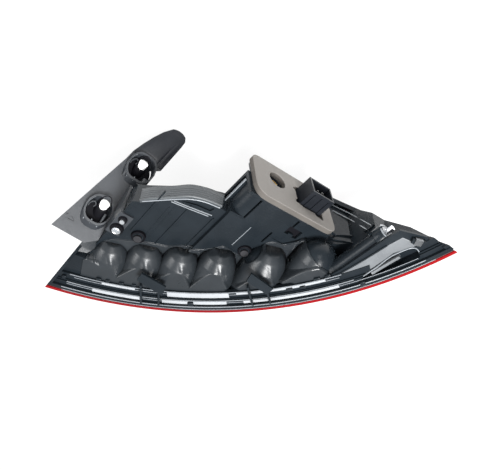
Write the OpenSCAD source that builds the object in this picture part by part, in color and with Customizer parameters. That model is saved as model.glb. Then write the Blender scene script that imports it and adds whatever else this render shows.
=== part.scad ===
/* Tail light cluster for the rear corner of a family car, right-hand side.
   Millimetres. X runs outboard, Y runs forward into the body, Z is up.
   The origin is the middle of the foam gasket's contact face. */

/* [Rim and lens] */
// radius of the circle that the lens rim follows, seen from above
rim_r = 369.3; // [362:0.1:376]
// where the rim starts, at the inboard tip, in degrees
rim_start = -74.0; // [-75:0.1:-73]
// where the rim ends, at the outboard tip, in degrees
rim_end = -9.0; // [-10:0.1:-8]
// how far the lens draws in for each millimetre of depth
lens_lean = 0.3; // [0.25:0.01:0.35]
// how far the lens face bulges beyond a straight cone
lens_crown = 5; // [0:0.5:8]
// depth of the lens from its near rim to its far rim
lens_depth = 115; // [105:1:125]
// thickness of the lens wall
lens_t = 3; // [2.5:0.1:4]
// thickness of the sealing bead between lens and housing
seal_t = 0.6; // [0.4:0.1:1.2]
// run of the far outboard edge, down for each millimetre forward
far_slope = 1.33; // [1.2:0.01:1.5]

/* [Housing] */
// wall thickness of the rear housing
wall = 2.4; // [2:0.1:3]
// depth of the upper flats below the near rim
flat_drop = 10; // [8:0.5:12]
// lean of the inboard end wall and of the gasket tower, in degrees
end_lean = 10.5; // [8:0.5:12]
// tilt of the large back face, in degrees
back_tilt = 5.5; // [4:0.5:7]
// depth of the large back face below the near rim, at its inboard edge
back_drop = 23; // [22:0.5:24]
// distance of the back face's inboard wall from the inboard tip
back_x = 17; // [16:0.5:19]
// height of the ribbed band round the back face
band_h = 19; // [15:0.5:22]
// length of the flats along the inboard end
end_flat = 47; // [42:1:50]

/* [Bowls] */
// radius of the round back of the four inner bowls
bowl_r = 17.5; // [17:0.1:18.5]
// radius of the round back of the two outer bowls
big_bowl_r = 20.5; // [20:0.1:21.5]
// flare of the bowls towards the lens, in degrees
bowl_flare = 15.5; // [14:0.5:17]
// depth of the inner bowls' centre line below the near rim
bowl_z = 28; // [27.5:0.1:28.5]
// turn of the bowls from the car's length, in degrees
bowl_turn = 20; // [15:1:25]

/* [Gasket tower] */
// width of the foam gasket along its lean
gasket_w = 103; // [95:1:110]
// height of the foam gasket
gasket_h = 56.5; // [52:0.5:60]
// thickness of the foam
foam_t = 6; // [4:0.5:8]
// corner radius of the foam
gasket_corner = 9; // [6:0.5:12]
// step from the foam's edge in to the tower wall
gasket_step = 2; // [1:0.5:4]
// distance from the inboard tip to the gasket's contact face
seat_y = 218; // [214:1:222]
// diameter of the hole in the foam for the fixing stud
stud_hole = 20; // [16:0.5:22]
// thread of the fixing insert, outside diameter
thread_d = 6; // [5:1:8]

/* [Connector] */
// width of the connector shroud
plug_w = 28; // [24:0.5:32]
// height of the connector shroud
plug_h = 21; // [18:0.5:24]
// reach of the shroud beyond the foam
plug_out = 19; // [14:0.5:24]
// wall of the shroud
plug_wall = 1.8; // [1.4:0.1:2.2]
// blades in each of the two rows
blade_count = 3; // [2:1:4]

/* [Mounting arm] */
// slope of the arm's plate, in degrees
arm_slope = 45; // [42:0.5:48]
// thickness of the arm's plate
arm_t = 3; // [2.5:0.1:4]
// height of the cup walls on the arm
cup_h = 7.5; // [6:0.5:10]
// radius of the white plugs on the arm
plug_r = 4.75; // [4:0.05:5.5]

/* [Outboard locator] */
// distance of the locating tube from the inboard tip, outboard
tube_x = 213; // [211:0.5:215]
// depth of the locating tube below the near rim
tube_z = 19; // [17:0.5:21]
// forward end of the locating tube
tube_end = 262; // [256:1:266]
// radius of the locating pin
pin_r = 3; // [2.5:0.1:4]

/* [Hidden] */
$fa = 7;
$fs = 1;
fit = 0.3;
deep = 150;
far = 420;
arc_x = -rim_r * cos(rim_start);
arc_y = -rim_r * sin(rim_start);
tip_y = arc_y + rim_r * sin(rim_end);
lens_steps = 8;
inner = lens_t + seal_t;

// gasket tower in its own leaning frame
gasket_mid = [151.5, -35.3];
tower_w = gasket_w - 2 * gasket_step;
tower_h = gasket_h - 2 * gasket_step;
tower_top = seat_y - foam_t;
tower_foot = 112;
neck_left = 97;
neck_step = -40;
neck_top = -10;
stud_at = [129.3, -41.1];
plug_at = [170, -35];

// middle of the gasket face, which becomes the origin
seat_x = gasket_mid[0] * cos(end_lean) + gasket_mid[1] * sin(end_lean);
seat_z = gasket_mid[1] * cos(end_lean) - gasket_mid[0] * sin(end_lean);

// back vertex of each bowl from above, its radius and its depth
bowls = [
    [29, 75, bowl_r, bowl_z],
    [59, 93, bowl_r, bowl_z],
    [89, 112, bowl_r, bowl_z],
    [119, 136, bowl_r, bowl_z],
    [156, 168, big_bowl_r, bowl_z + 3],
    [190, 208, big_bowl_r, bowl_z + 3]
];

// corners of the upper flats between the bowls
valleys = [[25, 56], [50, 46], [81, 70], [115, 88], [150, 109], [178, 148]];

// forward edge of the large back face
back_edge = [[26, 139], [45, 158], [55, 167], [68, 173], [84, 176], [172, 176]];
// the underside falls from the band to the far rim, square to a line turned from X
under_turn = 30;
under_top = 116;
under_slope = 0.78;

// arm plate, with x outboard and y down its slope
arm_foot = [0, 61, -20];
arm_plan = [
    [-29, 0], [6, 0], [back_x - fit, 9], [back_x - fit, 90], [34, 102],
    [40, 136], [40.5, 142], [38.5, 146], [34, 148], [29, 148.4], [23, 146.5], [16, 138],
    [10, 127.5], [4.5, 115.5], [0, 104], [-2, 94]
];
low_cup = [1, -41];
high_cup = [15, -82];
low_plug = [3, -46.9];
high_plug = [14.5, -85.4];
tab_from = 88;
tab_to = 117;
tab_foot = -66;
tab_screw = [22, 97];
tab_stud = [21, 110];
cover_at = [[44, 99, -24], [138, 147, -33]];
cover_boss_r = 6.5;

// inner pieces, stacked down from the underside of the flats
under_flat = flat_drop + wall;
sheet_t = 1.5;
board_t = 1.6;
led_side = 3.5;
led_t = 1.2;
led_reach = 25;
tongue_w = 7.6;
roof_t = 1.5;
board_z = -under_flat - sheet_t;
roof_z = board_z - board_t;
bowl_gap = wall + 0.9;
bowl_skin = 1.5;
shelf_h = 62;
shelf_t = 2;
floor_gap = 13;
curtain_h = lens_depth - floor_gap - shelf_h;
reflex_h = 16;
curtain_t = 3;
vent_r = 7;
vent_turn = -60.7;
vent_reach = lens_pt(lens_steps * lens_depth / deep, inner)[0] - vent_r - 1;
vent_at = [arc_x + vent_reach * cos(vent_turn), arc_y + vent_reach * sin(vent_turn)];
clip_at = [231.8, 280.2];
web_top = -8;
hoops = [[[64, 83], [92, 83], [96, 70], [65, 72]], [[143, 154], [172, 152], [173, 142], [146, 143]]];
bush_r = 4.8;
screw_r = 2;

// moves the inboard-tip frame so that the gasket face is at the origin
module placed() {
    translate([-seat_x, -seat_y, -seat_z]) children();
}

// sweeps a profile of radius and height about the rim's centre
module about_rim(from, to) {
    translate([arc_x, arc_y, 0])
        rotate([0, 0, from])
            rotate_extrude(angle = to - from, $fn = 180) children();
}

// point on the lens face at step i, moved in by an inset
function lens_pt(i, inset) =
    let (u = i / lens_steps)
    [rim_r - lens_lean * deep * u + 4 * lens_crown * u * (1 - u) - inset, -deep * u];

module lens_band(near, away) {
    polygon(concat(
        [for (i = [0:lens_steps]) lens_pt(i, near)],
        [for (i = [lens_steps:-1:0]) lens_pt(i, away)]
    ));
}

// everything on the housing's side of a face inset from the lens
module behind_lens(inset) {
    about_rim(-100, 12)
        polygon(concat([[60, 0]], [for (i = [0:lens_steps]) lens_pt(i, inset)], [[60, -deep]]));
}

// a side profile in Y and Z drawn out along X
module along_x(from, to) {
    translate([from, 0, 0])
        rotate([90, 0, 90])
            linear_extrude(to - from) children();
}

// limits of the lamp at its inboard end, its far rim and its outboard edge
module lamp_limits(inset) {
    shift = inset * sqrt(1 + 1 / far_slope / far_slope);
    intersection() {
        rotate([0, -end_lean, 0])
            translate([inset, -90, -190])
                cube([far, 480, 260]);
        along_x(-40, far)
            polygon([
                [-90, 9], [tip_y + 9 / far_slope - shift, 9],
                [tip_y - (lens_depth - inset) / far_slope - shift, inset - lens_depth],
                [-90, inset - lens_depth]
            ]);
    }
}

// profile of a bowl: a round back in short bands, then a straight flare to the lens
function bowl_profile(full, inset, reach) =
    let (r = full - inset, bands = 6, last = 90 - bowl_flare)
    concat(
        [for (i = [0:bands]) [r * sin(last * i / bands), full - r * cos(last * i / bands)]],
        [[r * cos(bowl_flare) + reach * tan(bowl_flare), full - r * sin(bowl_flare) + reach],
         [0, full - r * sin(bowl_flare) + reach]]
    );

module bowl(b, inset, reach) {
    translate([b[0], b[1], -b[3]])
        rotate([0, 0, bowl_turn])
            rotate([90, 0, 0])
                rotate_extrude($fn = 36) polygon(bowl_profile(b[2], inset, reach));
}

module below(z) {
    translate([-60, -90, z - deep]) cube([far, 480, deep]);
}

// block under the upper flats, from the valleys out to the lens
module front_block(inset) {
    top = flat_drop + inset;
    translate([inset, -1.2 * inset, -deep])
        linear_extrude(deep - top)
            polygon(concat(
                [[-10, -90], [-10, end_flat]], valleys,
                [[tube_x + 1, 190], [tube_x + 1, 252], [226, 256], [228, 279]],
                [[239, 287], [280, 330], [400, 0], [200, -90]]
            ));
}

// block under the large tilted back face
module back_block(inset) {
    low = 1.24 * inset - band_h;
    intersection() {
        translate([inset, -1.2 * inset, -deep])
            linear_extrude(deep)
                polygon(concat([[back_x, -90], [back_x, 133]], back_edge, [[260, 176], [260, -90]]));
        on_back()
            rotate([0, 0, under_turn])
                along_x(-100, far)
                    polygon([
                        [-300, -inset], [under_top, -inset], [under_top, low],
                        [under_top - deep, low - under_slope * deep], [-300, -deep - 30]
                    ]);
    }
}

// frame of the large tilted back face
module on_back() {
    translate([0, 0, -back_drop]) rotate([0, back_tilt, 0]) children();
}

// block behind the arm's plate
module end_block(inset) {
    // Y and Z add up to this along the slanted wall
    sum = arm_foot[1] + arm_foot[2] - (inset + arm_t + 0.05) * sqrt(2);
    low = -66 + 0.7 * inset;
    top = -flat_drop - inset - 2;
    along_x(-10, back_x + 2.5)
        polygon([
            [-90, top], [end_flat - inset - 1, top],
            [sum - arm_foot[2], arm_foot[2]], [sum - low, low],
            [42, inset - lens_depth], [-90, inset - lens_depth]
        ]);
}

// block behind the two outer bowls
module corner_block(inset) {
    translate([inset, -1.2 * inset, -deep])
        linear_extrude(deep - back_drop - 16 - inset)
            polygon([
                [96, 92], [150, 160], [166, 180], [178, 196], [197, 206], [tube_x, 222],
                [330, 222], [330, -90], [96, -90]
            ]);
}

// flange under the foam and the hollow neck that carries it
module tower_block(inset) {
    on_tower()
        translate([0, tower_top - inset, 0])
            rotate([90, 0, 0]) {
                linear_extrude(tower_top - tower_foot - inset) neck_plan(inset);
                if (inset == 0)
                    linear_extrude(3)
                        translate(gasket_mid) rounded(tower_w, tower_h, gasket_corner - gasket_step);
            }
}

// outline of the neck, narrower along its lower inboard side
module neck_plan(inset) {
    right = gasket_mid[0] + tower_w / 2 - 1;
    for (low_left = [[neck_left, neck_step], [neck_left + 28, gasket_mid[1] - tower_h / 2 + 1]])
        translate([low_left[0] + inset, low_left[1] + inset])
            square([right - low_left[0] - 2 * inset, neck_top - low_left[1] - 2 * inset]);
}

module rounded(w, h, r) {
    intersection() {
        square([w, h], center = true);
        union() {
            square([w - 2 * r, h], center = true);
            square([w, h - 2 * r], center = true);
            for (x = [-1, 1], y = [-1, 1])
                translate([x * (w / 2 - r), y * (h / 2 - r)]) circle(r);
        }
    }
}

// the whole closed form of the housing, or its cavity when inset by the wall
module body(inset) {
    intersection() {
        union() {
            front_block(inset);
            back_block(inset);
            end_block(inset);
            corner_block(inset);
            intersection() {
                union() for (b = bowls) bowl(b, inset, 60);
                below(-flat_drop - inset);
            }
        }
        lamp_limits(inset);
    }
}

// stepped rails that run along the near rim
module rim_rails() {
    intersection() {
        about_rim(-80, 0)
            translate([rim_r, 0])
                polygon([
                    [5, -1], [-8, -1], [-8, -4], [-13, -4], [-13, -5.5], [-14.5, -5.5],
                    [-14.5, -7], [-22, -7], [-22, -flat_drop - 1], [5, -flat_drop - 1]
                ]);
        lamp_limits(0);
    }
}

// lip along the inboard end
module end_lip() {
    intersection() {
        rotate([0, -end_lean, 0])
            along_x(0, 3)
                polygon([
                    [-40, -1], [end_flat, -1], [arm_foot[1] - 4.5, arm_foot[2]],
                    [end_flat - 6, -16], [-40, -16]
                ]);
        behind_lens(inner);
    }
}

// ring along the far outboard edge
module far_flange() {
    out = sqrt(1 + 1 / far_slope / far_slope);
    top = tip_y - 2 / far_slope;
    foot = tip_y - lens_depth / far_slope;
    intersection() {
        about_rim(-30, 0) lens_band(inner, inner + 7);
        along_x(100, far)
            polygon([
                [top - 3 * out, -2], [foot - 3 * out, -lens_depth],
                [foot + out, -lens_depth], [top + out, -2]
            ]);
    }
}

module tube_boss() {
    translate([tube_x, 196, -tube_z])
        rotate([-90, 0, 0]) {
            cylinder(h = tube_end - 196, r1 = 10, r2 = 7);
            translate([0, 0, tube_end - 200]) cylinder(h = 3, r = 8.2);
        }
}

module on_arm() {
    translate(arm_foot) rotate([-arm_slope, 0, 0]) children();
}

module on_tower() {
    rotate([0, end_lean, 0]) children();
}

module along_y(at, y) {
    translate([at[0], y, at[1]]) rotate([-90, 0, 0]) children();
}

// a round bar standing along Z between two heights
module post(at, from, to, r) {
    translate([at[0], at[1], from]) cylinder(h = to - from, r = r);
}

// arched snap hoop that reaches from the rail over the flats
module hoop(plate) {
    mid = (plate[2] + plate[3]) / 2;
    turn = atan2(arc_y - mid[1], arc_x - mid[0]);
    translate([0, 0, -2]) linear_extrude(2.4) polygon(plate);
    for (side = [-1, 1])
        translate([mid[0], mid[1], -4.5])
            rotate([0, 0, turn])
                translate([-24, side * 9 - 1, 0])
                    cube([26, 2, 4.9]);
}

// upright ribs round the forward edge of the back face
module band_ribs() {
    on_back()
            for (i = [0:1], k = [0:2]) {
                a = back_edge[i];
                b = back_edge[i + 1];
                p = a + (b - a) * (k + 0.5) / 3;
                translate([p[0], p[1], -band_h + 1])
                    rotate([0, 0, atan2(b[1] - a[1], b[0] - a[0])])
                        translate([-0.8, -1, 0])
                            cube([1.6, 2.2, band_h - 2]);
            }
}

// slender ribs on the back face
module back_ribs() {
    on_back()
        for (x = [34, 62, 88])
            translate([x, 100, -0.5]) cube([1.2, 62, 1.7]);
}

// block on the outboard flat, which the spring clip straddles
module clip_block(grow) {
    translate([clip_at[0], clip_at[1], web_top - 0.5])
        rotate([0, 0, 25])
            translate([-6, -2.5 - grow, 0])
                cube([12, 5 + 2 * grow, 4.5 + grow]);
}

// thin satin web that roofs the locating tube
module tube_web() {
    translate([0, 0, web_top - 2.4])
        linear_extrude(2.4)
            polygon([
                [206, 197], [208, 212], [210, 262], [212, 277], [236, 288], [246, 284],
                [236, 272], [228, 262], [225, 252], [225, 215]
            ]);
}

module housing_shell() {
    difference() {
        union() {
            intersection() {
                union() {
                    body(0);
                    rim_rails();
                }
                behind_lens(inner);
            }
            end_lip();
            far_flange();
            tower_block(0);
            tube_boss();
            band_ribs();
            back_ribs();
            clip_block(0);
            tube_web();
            for (p = hoops) hoop(p);
            for (c = cover_at) post(c, c[2] - 8, c[2], cover_boss_r);
        }
        intersection() {
            union() {
                body(wall);
                tower_block(wall);
            }
            lamp_limits(wall);
        }
    }
}

module rear_housing() {
    color("#2a2c2f") placed()
        difference() {
            union() {
                housing_shell();
                on_tower() along_y(stud_at, tower_top - 16) cylinder(h = 15, r = 8);
                for (c = cover_at) post(c, c[2] - 8, c[2] - 1, cover_boss_r);
            }
            on_tower() along_y(stud_at, tower_top - 13) cylinder(h = 20, r = thread_d / 2 + 2);
            on_tower() translate([plug_at[0], tower_top, plug_at[1]])
                cube([plug_w + 0.2, 20, plug_h + 0.2], center = true);
            along_y([tube_x, -tube_z], tube_end - 22) cylinder(h = 40, r = bush_r);
            for (c = cover_at) post(c, c[2] - 12, c[2] + 5, screw_r + fit);
            post(vent_at, -lens_depth - 1, -lens_depth + 5, vent_r / 2);
            for (p = [tab_screw, tab_stud]) post(p, -40, -15, 1.6);
            window_recess();
        }
}

// dark pocket in the flat at the outboard end
module window_recess() {
    translate([0, 0, -flat_drop - 1.4])
        linear_extrude(5)
            polygon([[222, 232], [224, 266], [238, 272], [245, 248], [236, 222]]);
}

module outer_lens() {
    color("#a80f14") placed()
        intersection() {
            about_rim(-80, 0) lens_band(0, lens_t);
            lamp_limits(0);
        }
}

// bead between the lens and the housing's whole edge
module lens_seal() {
    color("#141414") placed()
        intersection() {
            about_rim(-80, 0) lens_band(lens_t, inner);
            difference() {
                intersection() {
                    lamp_limits(0);
                    below(-1);
                }
                intersection() {
                    lamp_limits(wall);
                    below(-flat_drop - wall);
                }
            }
        }
}

// outline of a cup, with one end for each turn from -1 to 1
function cup_plan(w, h) = [
    for (end = [-1, 1], i = [0:8])
        let (a = -90 + 180 * i / 8 + (end < 0 ? 180 : 0))
        [end * (w - h) / 2 + h / 2 * cos(a), h / 2 * sin(a)]
];

// a cup moulded on the arm, with walls that stand along Y
module arm_cup(mid, w, h, plug) {
    intersection() {
        on_arm() translate([-60, -30, -0.5]) cube([140, 220, 0.5 + cup_h * cos(arm_slope)]);
        along_y([0, 0], 40)
            linear_extrude(160)
                difference() {
                    union() {
                        translate([mid[0], -mid[1]]) polygon(cup_plan(w, h));
                        translate([plug[0], -plug[1]]) circle(plug_r + 1.6);
                    }
                    difference() {
                        translate([mid[0], -mid[1]]) polygon(cup_plan(w - 3.2, h - 3.2));
                        translate([plug[0], -plug[1]]) circle(plug_r + 1.6);
                        for (x = [-9, 10]) translate([mid[0] + x - 0.7, -mid[1] + h / 2 - 6]) square([1.4, 6]);
                    }
                }
    }
}

module mounting_arm() {
    color("#3a3c40") placed() {
        difference() {
            union() {
                on_arm() translate([0, 0, -arm_t]) linear_extrude(arm_t) polygon(arm_plan);
                arm_cup(low_cup, 28, 21, low_plug);
                arm_cup(high_cup, 30, 21, high_plug);
                arm_tab();
            }
            for (p = [low_plug, high_plug]) along_y(p, 40) cylinder(h = 120, r = plug_r);
            for (p = [tab_screw, tab_stud]) post(p, -30, -15, screw_r);
        }
    }
}

// upright web and folded tab that lie over the edge of the back face
module arm_tab() {
    side = back_x - fit;
    along_x(side - 2.5, side)
        polygon([
            [tab_from, -22.4], [tab_to, -22.4], [tab_to, tab_foot],
            [38 - tab_foot, tab_foot], [tab_from, 38 - tab_from]
        ]);
    translate([0, 0, -back_drop])
        rotate([0, back_tilt, 0])
            translate([side - 2.5, tab_from, 0.04])
                cube([14, tab_to - tab_from, 2.4]);
}

module arm_screw() {
    top = -back_drop + 2.4;
    color("#b9bcc0") placed() {
        post(tab_screw, top - 0.1, top + 2.6, 4.2);
        post(tab_screw, top - 12, top, 1.6);
    }
}

module arm_stud() {
    top = -back_drop + 2.4;
    color("#b9bcc0") placed() {
        post(tab_stud, top, top + 2.5, 2.4);
        post(tab_stud, top - 9, top, 1.6);
    }
}

module arm_plugs() {
    color("#f0f0ee") placed()
        for (p = [low_plug, high_plug])
            along_y(p, arm_foot[1] - p[1] + arm_foot[2] - 3)
                cylinder(h = cup_h + 3.5, r = plug_r - 0.05);
}

module foam_gasket() {
    color("#8a8680") placed()
        on_tower()
            translate([gasket_mid[0], seat_y, gasket_mid[1]])
                rotate([90, 0, 0])
                    linear_extrude(foam_t)
                        difference() {
                            rounded(gasket_w, gasket_h, gasket_corner);
                            translate(stud_at - gasket_mid) circle(d = stud_hole);
                            translate(plug_at - gasket_mid) square([plug_w + 5, plug_h + 5], center = true);
                        }
}

module fixing_insert() {
    color("#c9a24a") placed()
        on_tower()
            along_y(stud_at, tower_top - 13)
                difference() {
                    cylinder(h = 13, r = thread_d / 2 + 1.95);
                    translate([0, 0, -1]) cylinder(h = 20, d = thread_d);
                }
}

// a block centred on the connector between two distances forward
module plug_block(from, to, w, h) {
    translate([plug_at[0] - w / 2, from, plug_at[1] - h / 2]) cube([w, to - from, h]);
}

module connector_body() {
    mouth = seat_y + plug_out;
    color("#1c1c1e") placed()
        on_tower()
            difference() {
                union() {
                    plug_block(tower_top - 8, mouth, plug_w, plug_h);
                    plug_block(tower_top, tower_top + 2, plug_w + 4, plug_h + 4);
                    for (x = [-9, 0, 9])
                        translate([plug_at[0] + x - 0.8, tower_top, plug_at[1] + plug_h / 2 - 0.5])
                            cube([1.6, mouth - tower_top - 3, 1.7]);
                }
                plug_block(seat_y - 1, mouth + 1, plug_w - 2 * plug_wall, plug_h - 2 * plug_wall);
                plug_block(tower_top - 9, tower_top - 3, plug_w - 2 * plug_wall, plug_h - 2 * plug_wall);
                blade_set(0.05);
            }
}

module blade_set(grow) {
    pitch = 6.5;
    for (i = [0:blade_count - 1], row = [-1, 1])
        translate([
            plug_at[0] + (i - (blade_count - 1) / 2) * pitch - 1.4 - grow, tower_top - 14,
            plug_at[1] + row * 3.8 - 0.4 - grow
        ])
            cube([2.8 + 2 * grow, plug_out + foam_t + 9, 0.8 + 2 * grow]);
}

module connector_blades() {
    color("#c8cacd") placed() on_tower() blade_set(0);
}

module locating_pin() {
    color("#b4b7bb") placed()
        along_y([tube_x, -tube_z], tube_end - 20) {
            cylinder(h = 21.5, r = pin_r - 0.05);
            cylinder(h = 28.5, r = pin_r - 0.5);
            cylinder(h = 2, r = bush_r - 0.1);
        }
}

module tube_bush() {
    color("#26272a") placed()
        along_y([tube_x, -tube_z], tube_end - 17)
            difference() {
                union() {
                    cylinder(h = 17, r = bush_r - 0.05);
                    translate([0, 0, 17]) cylinder(h = 1.5, r = bush_r + 1.2);
                }
                translate([0, 0, -1]) cylinder(h = 30, r = pin_r);
            }
}

module cover_screws() {
    color("#101113") placed()
        for (c = cover_at) {
            post(c, c[2], c[2] + 2.8, 4);
            post(c, c[2] - 18, c[2], screw_r);
        }
}

// outline of the board and sheet under the flats
module board_plan() {
    intersection() {
        translate([arc_x, arc_y]) difference() {
            circle(rim_r - 7.2, $fn = 360);
            circle(rim_r - 11.8, $fn = 360);
        }
        polygon([[arc_x, arc_y], [60, -60], [260, -60], [260, 130]]);
    }
    intersection() {
        translate([arc_x, arc_y]) circle(rim_r - 9, $fn = 360);
        for (b = bowls)
            translate([b[0], b[1]])
                rotate(bowl_turn)
                    translate([-tongue_w / 2, -60])
                        square([tongue_w, 60 - 21]);
    }
}

module at_leds() {
    for (b = bowls)
        translate([b[0], b[1], 0])
            rotate([0, 0, bowl_turn])
                translate([0, -led_reach, 0]) children();
}

module heat_sheet() {
    color("#9b9ea3") placed() translate([0, 0, board_z]) linear_extrude(sheet_t) board_plan();
}

module led_board() {
    color("#e8e8e4") placed() translate([0, 0, roof_z]) linear_extrude(board_t) board_plan();
}

module led_chips() {
    color("#f2e9b0") placed()
        at_leds() translate([-led_side / 2, -led_side / 2, roof_z - led_t]) cube([led_side, led_side, led_t]);
}

module reflector() {
    color("#d5d7da") placed()
        difference() {
            union() {
                intersection() {
                    union() for (b = bowls) bowl(b, bowl_gap, 34);
                    below(roof_z);
                    behind_lens(inner + 16);
                }
                translate([0, 0, roof_z - roof_t]) linear_extrude(roof_t) board_plan();
                for (c = cover_at) reflector_lug(c);
            }
            intersection() {
                union() for (b = bowls) bowl(b, bowl_gap + bowl_skin, 60);
                below(roof_z - roof_t);
            }
            at_leds() translate([-2.4, -2.4, roof_z - roof_t - 1]) cube([4.8, 4.8, 4]);
            for (c = cover_at) post(c, c[2] - 30, c[2], screw_r + 0.02);
        }
}

// arm from the bowls back to the boss under a cover screw
module reflector_lug(c) {
    post(c, c[2] - 20, c[2] - 8, cover_boss_r - 1.5);
    translate([c[0] - 2, c[1] - 40, c[2] - 18]) cube([4, 40, 9]);
}

function in_pt(d, h) = [rim_r - inner - lens_lean * h - d, -h];

module lower_trough() {
    low = shelf_h + curtain_h;
    color("#cfd1d4") placed() {
        about_rim(-66, -32)
            polygon([
                in_pt(3, shelf_h - shelf_t), in_pt(22, shelf_h - shelf_t), in_pt(10, low + shelf_t),
                in_pt(3, low + shelf_t), in_pt(3, low), in_pt(8.6, low), in_pt(20, shelf_h),
                in_pt(3, shelf_h)
            ]);
        for (a = [[-57, -50], [-44, -38]])
            about_rim(a[0], a[1])
                polygon([
                    in_pt(4, low + 1), in_pt(6, low + 1), in_pt(6, lens_depth - wall),
                    in_pt(4, lens_depth - wall)
                ]);
    }
}

module lower_board() {
    color("#e8e8e4") placed()
        about_rim(-64, -34)
            polygon([
                in_pt(8, shelf_h), in_pt(17, shelf_h), in_pt(17, shelf_h + board_t),
                in_pt(8, shelf_h + board_t)
            ]);
}

module lower_chips() {
    color("#f2e9b0") placed()
        for (a = [-62:4:-36])
            translate([arc_x, arc_y, 0])
                rotate([0, 0, a])
                    translate([rim_r - inner - lens_lean * shelf_h - 13.5, 0, -shelf_h - board_t - led_t])
                        cube([led_side, led_side, led_t]);
}

module light_curtain() {
    color("#e0e3e8") placed()
        about_rim(-66, -32)
            polygon([
                in_pt(3, shelf_h), in_pt(3 + curtain_t, shelf_h),
                in_pt(3 + curtain_t, shelf_h + curtain_h), in_pt(3, shelf_h + curtain_h)
            ]);
}

module reflex_strip() {
    color("#c8161c") placed()
        intersection() {
            about_rim(-62, -38) lens_band(lens_t, lens_t + 2);
            translate([-40, -90, floor_gap - 2 - lens_depth]) cube([far, 480, reflex_h]);
        }
}

module vent_cap() {
    color("#222326") placed() {
        post(vent_at, -lens_depth - 3, -lens_depth, vent_r);
        post(vent_at, -lens_depth - 0.1, -lens_depth + wall, vent_r / 2 - 0.05);
    }
}

module end_clip() {
    color("#a5a8ac") placed()
        intersection() {
            difference() {
                clip_block(0.8);
                clip_block(0);
            }
            translate([clip_at[0], clip_at[1], web_top])
                rotate([0, 0, 25])
                    translate([-3.5, -10, 0])
                        cube([7, 20, 20]);
        }
}

rear_housing();
outer_lens();
lens_seal();
mounting_arm();
arm_screw();
arm_stud();
arm_plugs();
foam_gasket();
fixing_insert();
connector_body();
connector_blades();
locating_pin();
tube_bush();
cover_screws();
reflector();
heat_sheet();
led_board();
led_chips();
lower_trough();
lower_board();
lower_chips();
light_curtain();
reflex_strip();
vent_cap();
end_clip();
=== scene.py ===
import math
import bpy
import numpy as np
from mathutils import Matrix, Vector
from mathutils.bvhtree import BVHTree


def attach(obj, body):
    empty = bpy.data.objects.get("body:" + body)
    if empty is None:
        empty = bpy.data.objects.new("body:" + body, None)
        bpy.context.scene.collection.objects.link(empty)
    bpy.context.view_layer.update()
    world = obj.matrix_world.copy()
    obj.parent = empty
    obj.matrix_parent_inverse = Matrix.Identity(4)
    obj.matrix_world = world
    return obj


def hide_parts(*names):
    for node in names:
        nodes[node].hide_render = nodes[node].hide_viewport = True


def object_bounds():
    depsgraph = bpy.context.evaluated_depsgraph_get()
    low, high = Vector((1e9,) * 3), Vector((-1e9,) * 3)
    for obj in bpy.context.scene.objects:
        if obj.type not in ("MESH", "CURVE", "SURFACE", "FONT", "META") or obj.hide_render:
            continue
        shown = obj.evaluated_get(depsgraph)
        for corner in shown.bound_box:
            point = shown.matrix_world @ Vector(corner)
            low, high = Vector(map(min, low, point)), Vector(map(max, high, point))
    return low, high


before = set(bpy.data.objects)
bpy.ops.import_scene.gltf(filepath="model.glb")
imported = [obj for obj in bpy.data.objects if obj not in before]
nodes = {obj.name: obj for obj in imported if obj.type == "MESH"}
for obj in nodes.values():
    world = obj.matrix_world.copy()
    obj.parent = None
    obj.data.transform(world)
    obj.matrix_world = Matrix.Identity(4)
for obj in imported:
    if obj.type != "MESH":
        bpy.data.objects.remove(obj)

cad_box = [list(corner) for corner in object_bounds()]

# Camera. It looks down and across the back of the lamp at the photograph's angle.
# Its turn is given by the directions of the picture's right, down and depth.
view = bpy.data.cameras.new("view")
view.lens = 38.7
view.sensor_width = 36
camera = bpy.data.objects.new("view", view)
bpy.context.collection.objects.link(camera)
to_right, to_down, to_depth = (0.779, 0.624, -0.058), (0.508, -0.573, 0.643), (0.368, -0.531, -0.763)
stand_at = (-0.20743, 0.2108, 0.41402)
camera.matrix_world = Matrix([
    (to_right[i], -to_down[i], -to_depth[i], stand_at[i]) for i in range(3)] + [(0, 0, 0, 1)])
bpy.context.scene.camera = camera
bpy.context.scene.view_settings.view_transform = "Standard"

# Studio. A white table under the lamp, a white room that gloss and glass also show, and five
# soft lamps: overhead, behind the body side, over the bowls, low right and low left.
def shader(tree, kind, operation=None, **inputs):
    """A shader node of one kind. Its inputs are set by name, with _ for a space in the name."""
    made = tree.nodes.new("ShaderNode" + kind)
    if operation:
        made.operation = operation
    for key, value in inputs.items():
        made.inputs[key.replace("_", " ")].default_value = value
    return made


def wire(tree, *links):
    """Joins shader nodes. Each link is a node, its output, the next node and that one's input."""
    for source, out, target, into in links:
        tree.links.new(source.outputs[out], target.inputs[into])


room = bpy.data.worlds.new("white_room")
bpy.context.scene.world = room
room.use_nodes = True
tree = room.node_tree
tree.nodes.clear()
rays = shader(tree, "LightPath")
seen = shader(tree, "Math", "MAXIMUM")
through = shader(tree, "Math", "MAXIMUM")
dim = shader(tree, "Background", Color=(0.93, 0.95, 1.0, 1), Strength=0.32)
white = shader(tree, "Background", Color=(1, 1, 1, 1), Strength=1.0)
pick = shader(tree, "MixShader")
end = shader(tree, "OutputWorld")
wire(tree, (rays, "Is Camera Ray", seen, 0), (rays, "Is Glossy Ray", seen, 1), (seen, 0, through, 0),
     (rays, "Is Transmission Ray", through, 1), (through, 0, pick, "Fac"), (dim, 0, pick, 1),
     (white, 0, pick, 2), (pick, 0, end, "Surface"))

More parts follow.
